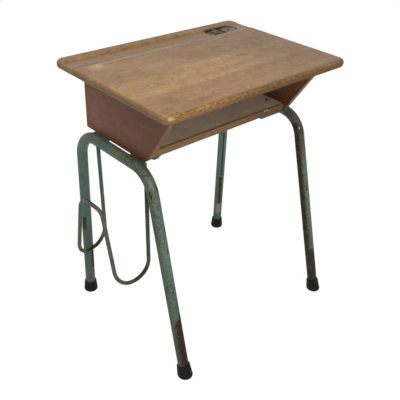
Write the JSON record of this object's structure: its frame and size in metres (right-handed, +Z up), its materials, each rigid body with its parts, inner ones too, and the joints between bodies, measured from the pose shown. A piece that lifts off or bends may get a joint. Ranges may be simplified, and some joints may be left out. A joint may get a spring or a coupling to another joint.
{
  "type": "school desk",
  "caption": "Single school desk: fixed wooden top with pen groove and sliding inkwell cover, open book case, two bent tube leg frames, rod satchel rack.",
  "frame": {"origin": "middle of the overall footprint, on the floor", "axes": "+X to the seated pupil's right, +Y away from the pupil, +Z up"},
  "size_m": [0.6616, 0.4926, 0.717],
  "materials": {
    "top_wood": "worn waxed beech",
    "side_plywood": "brown stained",
    "shelf_plywood": "brown stained",
    "thin_plywood": "brown stained",
    "batten_wood": "bare",
    "green_enamel": "worn enamel with rust",
    "black_rubber": "matte",
    "zinc_steel": "dull",
    "inkwell_metal": "worn enamel",
    "cover_metal": "dull",
    "cup_bakelite": "semi-gloss"
  },
  "bodies": {
    "desk": {"desk_top": "top_wood", "left_side_panel": "side_plywood", "right_side_panel": "side_plywood", "shelf_panel": "shelf_plywood", "back_panel": "thin_plywood", "left_batten": "batten_wood", "right_batten": "batten_wood", "rear_batten": "batten_wood", "batten_screws": "zinc_steel", "back_nails": "zinc_steel", "left_leg_frame": "green_enamel", "right_leg_frame": "green_enamel", "left_front_plate": "green_enamel", "left_rear_plate": "green_enamel", "right_front_plate": "green_enamel", "right_rear_plate": "green_enamel", "fixing_bolts": "zinc_steel", "fixing_washers": "zinc_steel", "fixing_nuts": "zinc_steel", "left_front_foot": "black_rubber", "left_rear_foot": "black_rubber", "right_front_foot": "black_rubber", "right_rear_foot": "black_rubber", "satchel_rack": "green_enamel", "inkwell_tray": "inkwell_metal", "inkwell_cup": "cup_bakelite", "inkwell_screws": "zinc_steel"},
    "cover": {"inkwell_cover": "cover_metal", "cover_knob": "cover_metal"}
  },
  "joints": [
    {"name": "inkwell_cover_slide", "type": "slide", "parent": "desk", "child": "cover", "axis": [-1, 0, 0], "range_m": [0, 0.058]}
  ]
}
